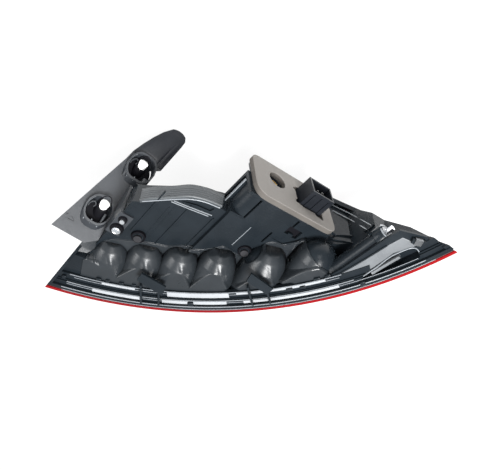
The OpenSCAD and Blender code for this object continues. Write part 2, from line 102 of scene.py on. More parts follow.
floor_mesh = bpy.data.meshes.new("table")
reach, under = 3.0, cad_box[0][2] - 0.0005
floor_mesh.from_pydata([(-reach, -reach, under), (reach, -reach, under), (reach, reach, under),
                        (-reach, reach, under)], [], [(0, 1, 2, 3)])
table = bpy.data.objects.new("table", floor_mesh)
bpy.context.collection.objects.link(table)
paper = bpy.data.materials.new("white_table")
paper.use_nodes = True
tree = paper.node_tree
tree.nodes.clear()
dull = shader(tree, "BsdfDiffuse", Color=(0.9, 0.9, 0.9, 1))
glow = shader(tree, "Emission", Color=(1, 1, 1, 1), Strength=1.0)
rays = shader(tree, "LightPath")
glow_share = shader(tree, "Math", "MULTIPLY")
glow_share.inputs[1].default_value = 0.86
pick = shader(tree, "MixShader")
end = shader(tree, "OutputMaterial")
wire(tree, (rays, "Is Camera Ray", glow_share, 0), (glow_share, 0, pick, "Fac"), (dull, 0, pick, 1),
     (glow, 0, pick, 2), (pick, 0, end, "Surface"))
floor_mesh.materials.append(paper)


def soft_lamp(name, place, size, watts):
    """A rectangular lamp at a place in metres, turned to the middle of the part."""
    lamp = bpy.data.lights.new(name, "AREA")
    lamp.shape = "RECTANGLE"
    lamp.size, lamp.size_y = size
    lamp.energy = watts
    holder = bpy.data.objects.new(name, lamp)
    bpy.context.collection.objects.link(holder)
    holder.location = place
    middle = Vector((0, -0.06, 0.02))
    holder.rotation_euler = (Vector(place) - middle).to_track_quat("Z", "Y").to_euler()


soft_lamp("lamp_over", (0.0, 0.42, 0.86), (0.40, 0.30), 6.0)
soft_lamp("lamp_back", (-0.30, 0.72, 0.62), (0.3, 0.3), 2.6)
soft_lamp("lamp_bowls", (0.09, 0.10, 0.95), (0.34, 0.34), 30.0)
soft_lamp("lamp_right", (0.95, -0.48, 0.24), (0.45, 0.55), 11.0)
soft_lamp("lamp_left", (-0.85, -0.25, 0.55), (0.45, 0.45), 8.0)

# Rear housing: one moulding in black impact-resistant plastic, 2.4 mm thick, with six
# bowl backs. The CAD solid stays as it is, apart from the bowls, which get caps,
# crowned cheeks and soft valleys on a relief that is cut in here.
seat = np.array([142.53, 218.0, -62.32])
rim_radius, rim_middle = 369.3, np.array([-101.79, 354.99])


def at(points):
    """Points in millimetres from the inboard tip, moved to the mount's origin, in metres."""
    return (np.asarray(points, float) - seat) * 0.001


def along_rim(angle, inward, height):
    """Point at an angle in degrees on the rim's circle, drawn in towards its middle by a distance."""
    angle, inward, height = np.broadcast_arrays(np.radians(angle), inward, height)
    away = rim_radius - inward
    return np.stack([rim_middle[0] + away * np.cos(angle), rim_middle[1] + away * np.sin(angle), height], -1)


def piece(name, points, faces, material, smooth=True):
    """A mesh from arrays of points in metres and faces, on the root body, with its finish."""
    mesh = bpy.data.meshes.new(name)
    mesh.from_pydata(np.asarray(points).tolist(), [], [list(map(int, f)) for f in faces])
    mesh.polygons.foreach_set("use_smooth", np.full(len(mesh.polygons), smooth))
    mesh.materials.append(material)
    mesh.update()
    thing = bpy.data.objects.new(name, mesh)
    bpy.context.collection.objects.link(thing)
    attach(thing, "root")
    return thing


def grid_faces(rows, columns, round_rows=False, round_columns=False):
    """Four-sided faces of a grid whose point numbers run along the columns first."""
    r = np.arange(rows if round_rows else rows - 1)
    c = np.arange(columns if round_columns else columns - 1)
    r, c = np.meshgrid(r, c, indexing="ij")
    r1, c1 = (r + 1) % rows, (c + 1) % columns
    faces = np.stack([r * columns + c, r * columns + c1, r1 * columns + c1, r1 * columns + c], -1)
    return faces.reshape(-1, 4)


def moulded(name, colour, rough, grain, depth, metal=0.0, mottle=0.25, scuffs=0.5, shine=0.5, warp=0.6):
    """Principled surface: fine noise for the mould's grain as bump, a broad noise that moves colour
    and roughness, and long thin streaks of noise as handling scuffs. Grain, depth and warp are in
    millimetres: the width of a grain, its depth, and how far the face strays from flat."""
    material = bpy.data.materials.new(name)
    material.use_nodes = True
    tree = material.node_tree
    skin = tree.nodes["Principled BSDF"]
    skin.inputs["Metallic"].default_value = metal
    skin.inputs["Specular IOR Level"].default_value = shine
    where = shader(tree, "TexCoord")
    broad = shader(tree, "TexNoise", Scale=45, Detail=5)
    fine = shader(tree, "TexNoise", Scale=1000 / grain, Detail=2)
    stretch = shader(tree, "Mapping", Scale=(1, 26, 9), Rotation=(0.3, 0.5, 0.9))
    streak = shader(tree, "TexNoise", Scale=38, Detail=3)
    scuff = shader(tree, "MapRange", From_Min=0.62, From_Max=0.70, To_Min=0.0, To_Max=scuffs)
    gloss = shader(tree, "MapRange", From_Min=0.3, From_Max=0.7, To_Min=rough[0], To_Max=rough[1])
    worn = shader(tree, "Math", "MULTIPLY_ADD")
    worn.inputs[1].default_value = 0.25
    dark = (*[c * (1 - mottle) for c in colour], 1)
    light = (*[min(1, c * (1 + mottle)) for c in colour], 1)
    tone = shader(tree, "MixRGB", Color1=dark, Color2=light)
    dents = shader(tree, "Bump", Strength=0.6, Distance=depth * 0.001)
    wave = shader(tree, "Bump", Strength=0.5, Distance=warp * 0.001)
    wire(tree, (where, "Object", broad, "Vector"), (where, "Object", fine, "Vector"),
         (where, "Object", stretch, "Vector"), (stretch, "Vector", streak, "Vector"),
         (broad, "Fac", tone, "Fac"), (tone, "Color", skin, "Base Color"),
         (streak, "Fac", scuff, "Value"), (broad, "Fac", gloss, "Value"), (scuff, "Result", worn, 0),
         (gloss, "Result", worn, 2), (worn, 0, skin, "Roughness"), (fine, "Fac", dents, "Height"),
         (broad, "Fac", wave, "Height"), (dents, "Normal", wave, "Normal"), (wave, "Normal", skin, "Normal"))
    return material


def dress(name, material):
    """Gives every material slot of a CAD node one finish."""
    slots = nodes[name].data.materials
    for slot in range(len(slots)):
        slots[slot] = material
    if not slots:
        slots.append(material)


housing_black = moulded("housing_black", (0.006, 0.008, 0.010), (0.20, 0.34), 0.5, 0.016, shine=0.10)
dress("rear_housing", housing_black)

# Bowl backs: in the real moulding each has a sloping cap, a barrel that widens towards
# the lens, a soft crease down its cheek, and a notch between its flat and the next one.
# They are one relief on the housing, so a carved copy of the solid carries them.
# For each bowl: X and Y of its cap, the size its profile is scaled by, and its axis's depth below Z = 0.
bowl_backs = np.array([[29, 75], [59, 93], [89, 112], [119, 136], [156, 168], [190, 208]], float)
bowl_size = np.array([17.5, 17.5, 17.5, 17.5, 20.5, 20.5])
bowl_depth = np.array([28, 28, 28, 28, 31, 31], float)
# X and Y of the notches between the flats, then the crown of each arch: ahead of the cap and aside.
notches = np.array([[-10, 47], [25, 56], [50.5, 46], [81, 70], [115, 88], [150, 109], [178, 148],
                    [214, 190], [224, 262]], float)
crowns = np.array([[24, -3], [14.8, 0], [14.6, 2], [14.6, -2], [17.0, 0], [13.0, -1]])
bowl_turn = math.radians(20)
forward = np.array([math.sin(bowl_turn), -math.cos(bowl_turn)])
across = np.array([math.cos(bowl_turn), math.sin(bowl_turn)])
flat_height = -10.0
drafted_edge = 1.8


def back_height(x):
    """Height of the large tilted back face: it falls outboard at a constant slope."""
    return -23 - 0.0963 * x


def barrel(size, along):
    """Radius of a bowl's back at a distance from its cap: a sloping cap, a rounded edge, then a
    slow flare. The profile is that of a 17.5 mm bowl, and a larger bowl takes it in proportion."""
    share = size / 17.5
    return np.interp(along / share, [-0.01, 0, 0.5, 1.5, 3.0, 4.4, 5.0, 5.6, 8, 11, 14.6, 60],
                     [0, 7.6, 8.6, 9.9, 11.6, 13.0, 13.5, 13.8, 14.9, 16.2, 17.6, 27.0]) * share


def bowl_height(x, y, i):
    """Height of one bowl: a circle of the barrel's radius, with a crease that runs out over its
    right cheek. The crease starts 5 mm from the cap, where the cap's slope ends."""
    gap = np.stack([x, y], -1) - bowl_backs[i]
    along, aside = gap @ forward, gap @ across
    radius = barrel(bowl_size[i], along)
    round_part = np.sqrt(np.clip(radius ** 2 - aside ** 2, 0, None))
    crease = 0.05 * radius + 0.40 * np.clip(along - 5, 0, None)
    lift = 0.7 * np.clip(1 - np.abs(aside - crease) / 3.2, 0, 1) * np.clip((along - 5) / 6, 0, 1)
    inside = (radius > np.abs(aside)) & (along > -0.01)
    far_below = -90.0
    return np.where(inside, -bowl_depth[i] + round_part + lift, far_below)


def under_flat(x, y, i):
    """Share of cover, 0 to 1, that the upper flat gives bowl i past an arch from one notch over its
    crown to the next. The share rises evenly over the width of the moulding's drafted edge."""
    gap = np.stack([x, y], -1) - bowl_backs[i]
    along, aside = gap @ forward, gap @ across
    left, right = notches[i + 1] - bowl_backs[i], notches[i + 2] - bowl_backs[i]
    crown_along, crown_aside = crowns[i]
    steps = np.linspace(-1, 1, 41)
    side = np.where(steps < 0, left @ across, right @ across)
    ahead = np.where(steps < 0, left @ forward, right @ forward)
    edge_aside = crown_aside + (side - crown_aside) * np.abs(steps)
    edge_along = crown_along + (ahead - crown_along) * np.abs(steps) ** 1.5
    out_of_reach = 999
    reach = np.interp(aside, edge_aside, edge_along, left=out_of_reach, right=out_of_reach)
    return np.clip((along - reach) / drafted_edge + 0.5, 0, 1)


# The relief lies between two angles of the rim, from 22.3 mm inward of it to a line of X and Y points.
relief_turns = np.linspace(-69.2, -27.4, 420)
relief_front = 22.3
back_line = np.array([[19.6, 60], [21, 72], [26, 80], [44, 90], [57.6, 97.5], [74, 104], [87.6, 116.5],
                      [103, 124], [117.6, 140.5], [126, 140], [131, 139], [138, 139.6], [144.3, 143],
                      [146, 152], [149, 168], [154, 173], [166, 176.5], [177, 196], [186, 213], [196, 214],
                      [203, 206], [206, 196]])
line_turn = np.degrees(np.arctan2(*(back_line - rim_middle).T[::-1]))
line_inward = rim_radius - np.hypot(*(back_line - rim_middle).T)
order = np.argsort(line_turn)
back_inward = np.interp(relief_turns, line_turn[order], line_inward[order])
inboard_end = np.interp(relief_turns, [-69.2, -67.6, -66.5, -65], [44, 50, 62, 200])
back_inward = np.minimum(back_inward, inboard_end)
rows = np.linspace(0, 1, 110)[:, None]
relief_width = back_inward[None, :] - relief_front
relief = along_rim(relief_turns[None, :], relief_front + relief_width * rows, 0.0)
solid = nodes["rear_housing"].data
solid_faces = BVHTree.FromPolygons([v.co for v in solid.vertices], [p.vertices for p in solid.polygons])
just_above = np.full(relief.shape[:2] + (1,), -4.7)
start = at(np.concatenate([relief[..., :2], just_above], -1)).reshape(-1, 3)
hits = [solid_faces.ray_cast(Vector(p), Vector((0, 0, -1)))[0] for p in start]
where_open = -0.02
found = np.array([h.z if h else where_open for h in hits])
solid_height = found.reshape(relief.shape[:2]) * 1000 + seat[2]
x, y = relief[..., 0], relief[..., 1]
gaps = np.stack([x, y], -1)[None] - bowl_backs[:, None, None]
beside_bowl = np.abs(gaps @ across) < bowl_size[:, None, None] + 4
near_bowl = ((gaps @ forward > -1) & beside_bowl).any(0)
front = np.clip((np.interp(x, notches[:, 0], notches[:, 1]) - y) / drafted_edge + 0.5, 0, 1)
valley = np.where(near_bowl, np.minimum(solid_height, back_height(x)), solid_height)
ground = np.where(front > 0.99, flat_height, valley)
bowls = np.max([bowl_height(x, y, i) for i in range(6)], axis=0)
flat = np.maximum(front, np.max([under_flat(x, y, i) for i in range(6)], axis=0))
flat = flat * flat * (3 - 2 * flat)
height = np.minimum(np.maximum(ground, bowls), flat_height)
height += (flat_height - height) * flat
from_ends = np.minimum(relief_turns - relief_turns[0], relief_turns[-1] - relief_turns)[None, :] * 5.7
edge = np.minimum(np.minimum(rows, 1 - rows) * relief_width, from_ends)
blend = np.clip(edge / 2.5, 0, 1)
# Towards its edges the relief runs out to 0.06 mm above the solid.
relief[..., 2] = solid_height + (height - solid_height) * blend + 0.06 * (1 - blend)

# The cut in the solid lies 0.6 mm inside the relief's outline, so that the relief covers its edge.
inset = relief_turns[1:-1]
relief_outline = np.concatenate([along_rim(inset[::6], relief_front + 0.6, 0),
                                 along_rim(inset[::-2], back_inward[1:-1][::-2] - 0.6, 0)])[:, :2]
lean = math.radians(10.5)


def on_tower(out, toward, up):
    """Point of the leaning tower: outboard and up along its own lean, and forward along Y."""
    leaning_x = out * math.cos(lean) + up * math.sin(lean)
    return np.array([leaning_x, toward, up * math.cos(lean) - out * math.sin(lean)])


def prism(outline_top, outline_foot):
    """Closed block between two outlines of the same count. The sign of the top outline's area, seen
    along the block, tells which way round its faces go so that they look outward."""
    top, foot = np.asarray(outline_top, float), np.asarray(outline_foot, float)
    n = len(top)
    area = np.cross(top, np.roll(top, -1, axis=0)).sum(0) @ (top.mean(0) - foot.mean(0))
    faces = [(i, n + i, n + (i + 1) % n, (i + 1) % n) for i in range(n)]
    faces += [tuple(range(n)), tuple(range(n, 2 * n))[::-1]]
    return np.concatenate([top, foot]), faces if area > 0 else [f[::-1] for f in faces]


def level(outline, height):
    """Points of X and Y, all at one height."""
    return np.column_stack([outline, np.full(len(outline), height)])


tower_slot = [(158, 188.5), (163, 188.5), (163, 190.5), (169, 190.5), (169, 187.5), (174.5, 187.5),
              (174.5, 198.5), (161.8, 198.5), (161.8, 208.5), (159.4, 208.5), (159.4, 198.5), (158, 198.5)]
thin_slot = [(147.4, 165.7), (149.6, 165.7), (149.6, 182), (147.4, 182)]
shoulder_pocket = [(96.0, 180.5), (113.8, 180.5), (113.8, 209.5), (96.0, 209.5)]
lip_seat = [(95, 174), (98.7, 174), (98.7, 208), (95, 208)]
window = np.array([[240.5, 243], [243.5, 257], [246.5, 270.5], [238, 273], [229.5, 256], [229.3, 231],
                   [226.6, 220], [230.5, 213]])
glazing = np.array([[50.5, 160.2], [67, 165], [80.5, 166.8], [82, 172], [67, 168]])
cuts = [prism(level(relief_outline, -4.6), level(relief_outline, -53.0))]
for shape, top, foot in ((tower_slot, -8.5, -12.5), (thin_slot, -8.5, -12.5),
                         (shoulder_pocket, -8.5, -28.5), (lip_seat, -32, -36.4)):
    ends = [np.array([on_tower(a, b, height) for a, b in shape]) for height in (top, foot)]
    cuts.append(prism(*ends))
cuts.append(prism(level(window, -3.0), level(window, -22.0)))
cuts.append(prism(level(glazing, -10.0), level(glazing, -34.0)))


def carved_copy(name, node_name, blocks, material):
    """A copy of a CAD solid, welded closed, with blocks cut out of it. It stands in for the solid.
    Faces above 4 square millimetres are shaded flat, and the small ones of round stretches smooth."""
    copy = bpy.data.objects.new(name, nodes[node_name].data.copy())
    bpy.context.collection.objects.link(copy)
    weld = copy.modifiers.new("weld", "WELD")
    weld.merge_threshold = 0.000001
    tool_points, tool_faces, base = [], [], 0
    for points, faces in blocks:
        tool_points.append(points)
        tool_faces += [tuple(base + k for k in f) for f in faces]
        base += len(points)
    tool_mesh = bpy.data.meshes.new("cut_tool")
    tool_mesh.from_pydata(at(np.concatenate(tool_points)).tolist(), [], tool_faces)
    tool = bpy.data.objects.new("cut_tool", tool_mesh)
    bpy.context.collection.objects.link(tool)
    cut = copy.modifiers.new("cut", "BOOLEAN")
    cut.operation = "DIFFERENCE"
    cut.solver = "MANIFOLD"
    cut.object = tool
    bpy.context.view_layer.update()
    cut_copy = copy.evaluated_get(bpy.context.evaluated_depsgraph_get())
    finished = bpy.data.meshes.new_from_object(cut_copy)
    copy.modifiers.clear()
    copy.data = finished
    bpy.data.objects.remove(tool)
    finished.materials.clear()
    finished.materials.append(material)
    finished.polygons.foreach_set("material_index", np.zeros(len(finished.polygons), int))
    if finished.attributes.get("custom_normal"):
        finished.attributes.remove(finished.attributes["custom_normal"])
    area = np.empty(len(finished.polygons))
    finished.polygons.foreach_get("area", area)
    finished.polygons.foreach_set("use_smooth", area < 0.000004)
    finished.set_sharp_from_angle(angle=math.radians(22))
    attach(copy, "root")
    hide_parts(node_name)


carved_copy("housing_shell", "rear_housing", cuts, housing_black)

bowl_black = moulded("bowl_black", (0.010, 0.012, 0.014), (0.27, 0.37), 0.5, 0.012, scuffs=0.8,
                     shine=0.24, warp=0.25)
relief_faces = grid_faces(*relief.shape[:2])
bowl_relief = piece("bowl_relief", at(relief).reshape(-1, 3), relief_faces, bowl_black)
bowl_relief.data.flip_normals()
thick = bowl_relief.modifiers.new("wall", "SOLIDIFY")
thick.thickness = 0.0012
thick.offset = -1


# Rim rails: lands and beads along the near rim, painted lighter than the housing as painted highlight where
# they catch the light.
# The beads stiffen the edge, and small snaps and a locating tab stand on them.
def ribbon(name, path, half_width, half_height, material, up=(0, 0, 1), square=4.0, count=16,
           taper=None):
    """A bar swept along a path in millimetres. Its section is a squared circle: powers of the cosine
    across and of the sine upwards. Both ends are closed."""
    path = np.asarray(path, float)
    ahead = np.gradient(path, axis=0)
    ahead /= np.linalg.norm(ahead, axis=1, keepdims=True)
    side = np.cross(ahead, np.broadcast_to(np.asarray(up, float), path.shape))
    side /= np.linalg.norm(side, axis=1, keepdims=True)
    top = np.cross(side, ahead)
    turn = np.linspace(0, 2 * np.pi, count, endpoint=False)
    c, h = np.cos(turn), np.sin(turn)
    c, h = np.sign(c) * np.abs(c) ** (2 / square), np.sign(h) * np.abs(h) ** (2 / square)
    size = np.ones(len(path)) if taper is None else np.asarray(taper, float)
    rings = (path[:, None] + side[:, None] * (c * half_width)[None, :, None] * size[:, None, None]
             + top[:, None] * (h * half_height)[None, :, None] * size[:, None, None])
    faces = grid_faces(len(path), count, round_columns=True).tolist()
    faces += [list(range(count)), list(range((len(path) - 1) * count, len(path) * count))[::-1]]
    return piece(name, at(rings.reshape(-1, 3)), faces, material)


def joined(name, things):
    """Several like pieces made one mesh, under one name."""
    keep = things[0]
    points, faces, base = [], [], 0
    for thing in things:
        here = np.empty(len(thing.data.vertices) * 3)
        thing.data.vertices.foreach_get("co", here)
        points.append(here.reshape(-1, 3))
        faces += [[base + v for v in p.vertices] for p in thing.data.polygons]
        base += len(here) // 3
    mesh = bpy.data.meshes.new(name)
    mesh.from_pydata(np.concatenate(points).tolist(), [], faces)
    mesh.polygons.foreach_set("use_smooth", np.ones(len(mesh.polygons), bool))
    mesh.materials.append(keep.data.materials[0])
    keep.data = mesh
    keep.name = name
    for thing in things[1:]:
        bpy.data.objects.remove(thing)
    mesh.set_sharp_from_angle(angle=math.radians(38))
    return keep


def line(points, count=24):
    """A path through a few points in millimetres, eased by a cubic so that it has no kinks."""
    points = np.asarray(points, float)
    if len(points) == 2:
        return points[0] + (points[1] - points[0]) * np.linspace(0, 1, count)[:, None]
    known = np.concatenate([[0], np.cumsum(np.linalg.norm(np.diff(points, axis=0), axis=1))])
    slope = np.gradient(points, known, axis=0)
    where = np.linspace(0, known[-1], count)
    k = np.clip(np.searchsorted(known, where) - 1, 0, len(known) - 2)
    step = known[k + 1] - known[k]
    u = ((where - known[k]) / step)[:, None]
    step = step[:, None]
    return ((2 * u ** 3 - 3 * u ** 2 + 1) * points[k] + (u ** 3 - 2 * u ** 2 + u) * step * slope[k]
            + (3 * u ** 2 - 2 * u ** 3) * points[k + 1] + (u ** 3 - u ** 2) * step * slope[k + 1])


# Lighter copies of the housing's black plastic: painted highlight on the beads, lands, lips, rims and ridges
# that catch the light.
highlight_black = moulded("highlight_black", (0.12, 0.13, 0.14), (0.22, 0.34), 0.5, 0.012, shine=0.3)
land_highlight_grey = moulded("land_highlight_grey", (0.20, 0.21, 0.22), (0.22, 0.34), 0.5, 0.012)
rails = []
for start_turn, end_turn, inward, height, half, tall in (
        (-71.5, -12.0, 3.4, -0.95, 0.35, 0.35), (-71.6, -13.2, 7.5, -0.9, 0.45, 0.5),
        (-71.0, -24.0, 13.2, -3.9, 0.4, 0.5), (-70.8, -25.5, 21.6, -6.9, 0.45, 0.5),
        (-70.0, -26.0, 18.3, -6.95, 0.3, 0.3), (-71.0, -14.0, 10.4, -3.95, 0.3, 0.3)):
    path = along_rim(np.linspace(start_turn, end_turn, 150), inward, height)
    rails.append(ribbon("rail", path, half, tall, highlight_black, count=10))
joined("rim_beads", rails)
lands = []
for start_turn, end_turn, inner_edge, outer_edge, height in (
        (-54.6, -44.3, 21.0, 14.9, -6.7), (-55.4, -44.8, 12.4, 8.4, -3.7), (-66.8, -58.8, 12.4, 8.6, -3.7),
        (-43.0, -28.2, 21.0, 18.9, -6.7), (-42.0, -26.5, 12.2, 9.0, -3.7), (-65.5, -60.0, 21.0, 18.9, -6.7)):
    path = along_rim(np.linspace(start_turn, end_turn, 60), (inner_edge + outer_edge) / 2, height)
    half = (inner_edge - outer_edge) / 2
    lands.append(ribbon("land", path, half, 0.35, land_highlight_grey, square=8))
joined("land_highlights", lands)
snaps = []
snap_taper = [0.82, 0.96, 1, 1, 1, 1, 0.96, 0.82]
for turn, inward, height, half_length, half_width, tall in (
        (-66.1, 24.0, -8.2, 2.6, 1.5, 1.9), (-64.6, 24.0, -8.4, 2.2, 1.3, 1.6),
        (-62.3, 24.2, -8.2, 2.6, 1.5, 1.9), (-60.2, 24.2, -8.4, 2.2, 1.3, 1.6),
        (-50.7, 9.5, -2.4, 3.0, 3.2, 1.6), (-22.9, 7.0, -1.6, 2.6, 3.0, 1.8),
        (-34.2, 19.0, -6.0, 3.4, 1.4, 1.6), (-32.0, 18.6, -6.0, 3.0, 1.4, 1.6),
        (-29.4, 23.6, -8.2, 3.4, 1.4, 1.9), (-27.6, 23.6, -8.2, 3.0, 1.4, 1.7),
        (-71.6, 17.5, -5.6, 2.0, 2.0, 1.6)):
    half_turn = math.degrees(half_length / rim_radius)
    path = along_rim(np.linspace(turn - half_turn, turn + half_turn, 8), inward, height)
    snaps.append(ribbon("snap", path, half_width, tall, housing_black, square=6, taper=snap_taper))
joined("rim_snaps", snaps)


# Back face: fine ribs that stiffen it, and the band of stepped ridges round its forward edge.
# They are moulded with the housing; the band and the ridges that stand above the face are painted lighter
# than it, a painted highlight.
def on_back(x, y, above=0.0):
    """Point on the large tilted back face, at a height above it."""
    return np.array([x, y, back_height(x) + above])


dark_ridges, bright_ridges = [], []
for points, above, half, tall in (
        ([(24, 139), (45, 158.2), (56, 167.4), (68, 173.2), (85, 176.4)], 0.7, 0.55, 0.7),
        ([(45, 155.4), (66, 158.8), (82.1, 161.8)], 0.9, 0.5, 0.7),
        ([(46.6, 157.6), (67, 161.2), (84.3, 164.5)], 0.9, 0.5, 0.7),
        ([(87.6, 117.3), (86.3, 159.1)], 0.0, 0.35, 0.3),
        ([(49, 104), (47.5, 148)], 0.0, 0.6, 0.5),
        ([(52.6, 106), (51.4, 152)], 0.0, 0.4, 0.35),
        ([(104, 128), (101, 168)], 0.0, 0.4, 0.35)):
    group, finish = (bright_ridges, highlight_black) if above else (dark_ridges, housing_black)
    path = line([on_back(x, y, above) for x, y in points], 40)
    group.append(ribbon("ridge", path, half, tall, finish, count=10))
# The band's grey is painted highlight on the housing's black.
band_highlight_grey = moulded("band_highlight_grey", (0.030, 0.034, 0.037), (0.32, 0.45), 0.5, 0.02, shine=0.2)
band_edge = line([(22.5, 137), (30, 146.2), (38, 153), (45.3, 159.6), (55.3, 169), (68, 174.6),
                  (86, 178)], 90)
band_out = np.gradient(band_edge, axis=0)
band_out = np.column_stack([-band_out[:, 1], band_out[:, 0]]) / np.hypot(*band_out.T)[:, None]
band_down = 0.78 * np.array([0, 0.5, 0.6, 3.4, 3.6, 3.7, 6.8, 7.0, 7.1, 10.2, 10.4, 10.5, 13.6, 13.8, 13.9,
                             17.0, 17.2, 21.0])
band_step = np.array([-1.2, 0.4, 1.0, 1.1, 0.7, 1.3, 1.4, 1.0, 1.6, 1.7, 1.3, 1.9, 2.0, 1.6, 2.2,
                      2.3, 1.9, 2.4])
band_height = back_height(band_edge[:, None, 0]) + 0.1 - band_down[None, :]
band = np.concatenate([band_edge[:, None] + band_out[:, None] * band_step[None, :, None],
                       band_height[..., None]], -1)
edge_band = piece("edge_band", at(band.reshape(-1, 3)), grid_faces(*band.shape[:2]), band_highlight_grey)
edge_band.data.set_sharp_from_angle(angle=math.radians(30))
band_wall = edge_band.modifiers.new("wall", "SOLIDIFY")
band_wall.thickness = 0.0006
seam = relief[-1, 2:-2].copy()
even = np.ones(11) / 11
for k in range(3):
    seam[5:-5, k] = np.convolve(seam[:, k], even, "valid")
dark_ridges.append(ribbon("ridge", seam - [0, 0, 0.3], 1.0, 0.8, housing_black, count=12))
joined("back_ridges", dark_ridges)
joined("edge_ridges", bright_ridges)
pane_top = np.array([on_back(*p, -2.2) for p in glazing])
points, faces = prism(pane_top, pane_top - [0, 0, 0.8])
piece("window_pane", at(points), faces, housing_black, smooth=False)


# Web at the outboard end: a land between the rim and the guide tube, with a raised bar that braces it.
# Land, bar and lip are painted lighter, a painted highlight. The window beside it lets red light from the
# lens through its floor.
def plate(name, outline, thickness, material):
    """A flat plate under an outline of points in millimetres, its edges eased by a 0.4 mm bevel."""
    outline = np.asarray(outline, float)
    normal = np.cross(outline, np.roll(outline, -1, axis=0)).sum(0)
    normal /= np.linalg.norm(normal) * (1 if normal[2] >= 0 else -1)
    points, faces = prism(outline, outline - normal * thickness)
    thing = piece(name, at(points), faces, material)
    ease = thing.modifiers.new("ease", "BEVEL")
    ease.width = 0.0004
    ease.segments = 2
    thing.data.set_sharp_from_angle(angle=math.radians(38))


web_highlight_grey = moulded("web_highlight_grey", (0.075, 0.080, 0.085), (0.22, 0.34), 0.5, 0.012, shine=0.3)
land = [(208, 187.5), (216, 189.5), (226.2, 207.5), (227.4, 220), (228.3, 232), (228.4, 256), (236.4, 273.6),
        (243.6, 279.2), (220.0, 273.4), (217.4, 258), (214.2, 226), (211.3, 207)]
plate("web_land", level(land, -7.7), 2.2, web_highlight_grey)
sill = [(228.6, 214), (233, 211.5), (243, 242), (249, 273), (238, 275.5), (227.8, 257)]
plate("web_floor", level(sill, -12.6), 1.2, housing_black)
brace = line(level([(231.6, 226), (232.9, 242), (234.6, 257.5)], -7.2), 20)
ribbon("web_bar", brace, 1.5, 1.9, web_highlight_grey, square=8)
lip = line(level([(228.9, 214), (229.6, 232), (229.8, 256.4), (238.2, 273.2), (246.5, 271.5)], -7.4), 60)
ribbon("web_lip", lip, 0.5, 0.9, highlight_black, square=6)
edge_bars = []
for path in ([(204.5, 186.5), (210.6, 205.5)], [(210.6, 205.5), (213.4, 226), (216.5, 258)]):
    edge_bars.append(ribbon("edge", line(level(path, -8.3), 16), 0.7, 1.6, housing_black,
                            square=6))
joined("web_edges", edge_bars)


# Tower: its inboard shoulder is rounded down to a channel, under a thin bright lip.
# Both are moulded with the housing; the lip is painted in the lighter plastic, a painted highlight.
def tower_bar(name, section, from_y, to_y, material):
    """A bar of constant section, given in the tower's leaning frame, from one Y to another."""
    ends = [np.array([on_tower(a, y, b) for a, b in section]) for y in (to_y, from_y)]
    points, faces = prism(*ends)
    thing = piece(name, at(points), faces, material)
    thing.data.set_sharp_from_angle(angle=math.radians(24))
    return thing


# Nearly black and almost without reflection: on the slot floor and the cup floors it is painted shade in
# those recesses; collars, boss rims and marks are also laid in it.
dull_shade_black = moulded("dull_shade_black", (0.003, 0.003, 0.004), (0.5, 0.65), 0.6, 0.06, scuffs=0.2, shine=0.04,
                     warp=0.1)
shoulder = [(113.7, -13), (112.5, -13), (112.3, -11), (111.9, -10.6), (110, -11.0), (107.5, -12.0),
            (105, -13.5), (102.8, -15.6), (101, -18.2), (99.8, -21), (99.2, -24), (99, -28.9), (113.7, -28.9)]
shoulder_end = [(113.7, -10.3), (97.2, -10.3), (97.2, -28.9), (113.7, -28.9)]
bright_lip = [(96.2, -29.4), (97.6, -29.4), (97.6, -31.4), (96.2, -31.4)]
thin_lip = [(126.3, -9.8), (126.9, -9.8), (126.9, -10.3), (126.3, -10.3)]
joined("tower_shoulder", [tower_bar("shoulder", shoulder, 180.6, 209.4, housing_black),
                          tower_bar("foot_web", shoulder_end, 180.4, 182.0, housing_black),
                          tower_bar("head_web", shoulder_end, 208.4, 209.8, housing_black)])
# A dark plate under the slot: painted shade that makes the slot read black.
slot_shade_floor = [on_tower(a, b, -13.4) for a, b in [(155, 185), (177, 185), (177, 211), (155, 211)]]
plate("slot_shade_floor", slot_shade_floor, 1.0, dull_shade_black)
joined("tower_lip", [tower_bar("lip", bright_lip, 173, 208, highlight_black),
                     tower_bar("thin", thin_lip, 146, 176, highlight_black)])


# Guide tube: a thick ring with a bright edge at its mouth, and two thin fins on its far side. The edge's
# lighter plastic is a painted highlight.
# Wavy ribs run from the tower to the web, beside the gasket's outboard corner.
def tube_ring(name, profile, material):
    """A ring turned about the guide tube's axis, from a closed profile of distance along it and radius."""
    turn = np.linspace(0, 2 * np.pi, 64, endpoint=False)[:, None]
    along, radius = np.asarray(profile, float).T[:, None]
    axis_x, axis_z = 213, -19
    ring = np.stack([axis_x + radius * np.cos(turn), along + 0 * turn, axis_z + radius * np.sin(turn)], -1)
    faces = grid_faces(64, len(profile), round_rows=True, round_columns=True)
    thing = piece(name, at(ring.reshape(-1, 3)), faces, material)
    thing.data.set_sharp_from_angle(angle=math.radians(38))


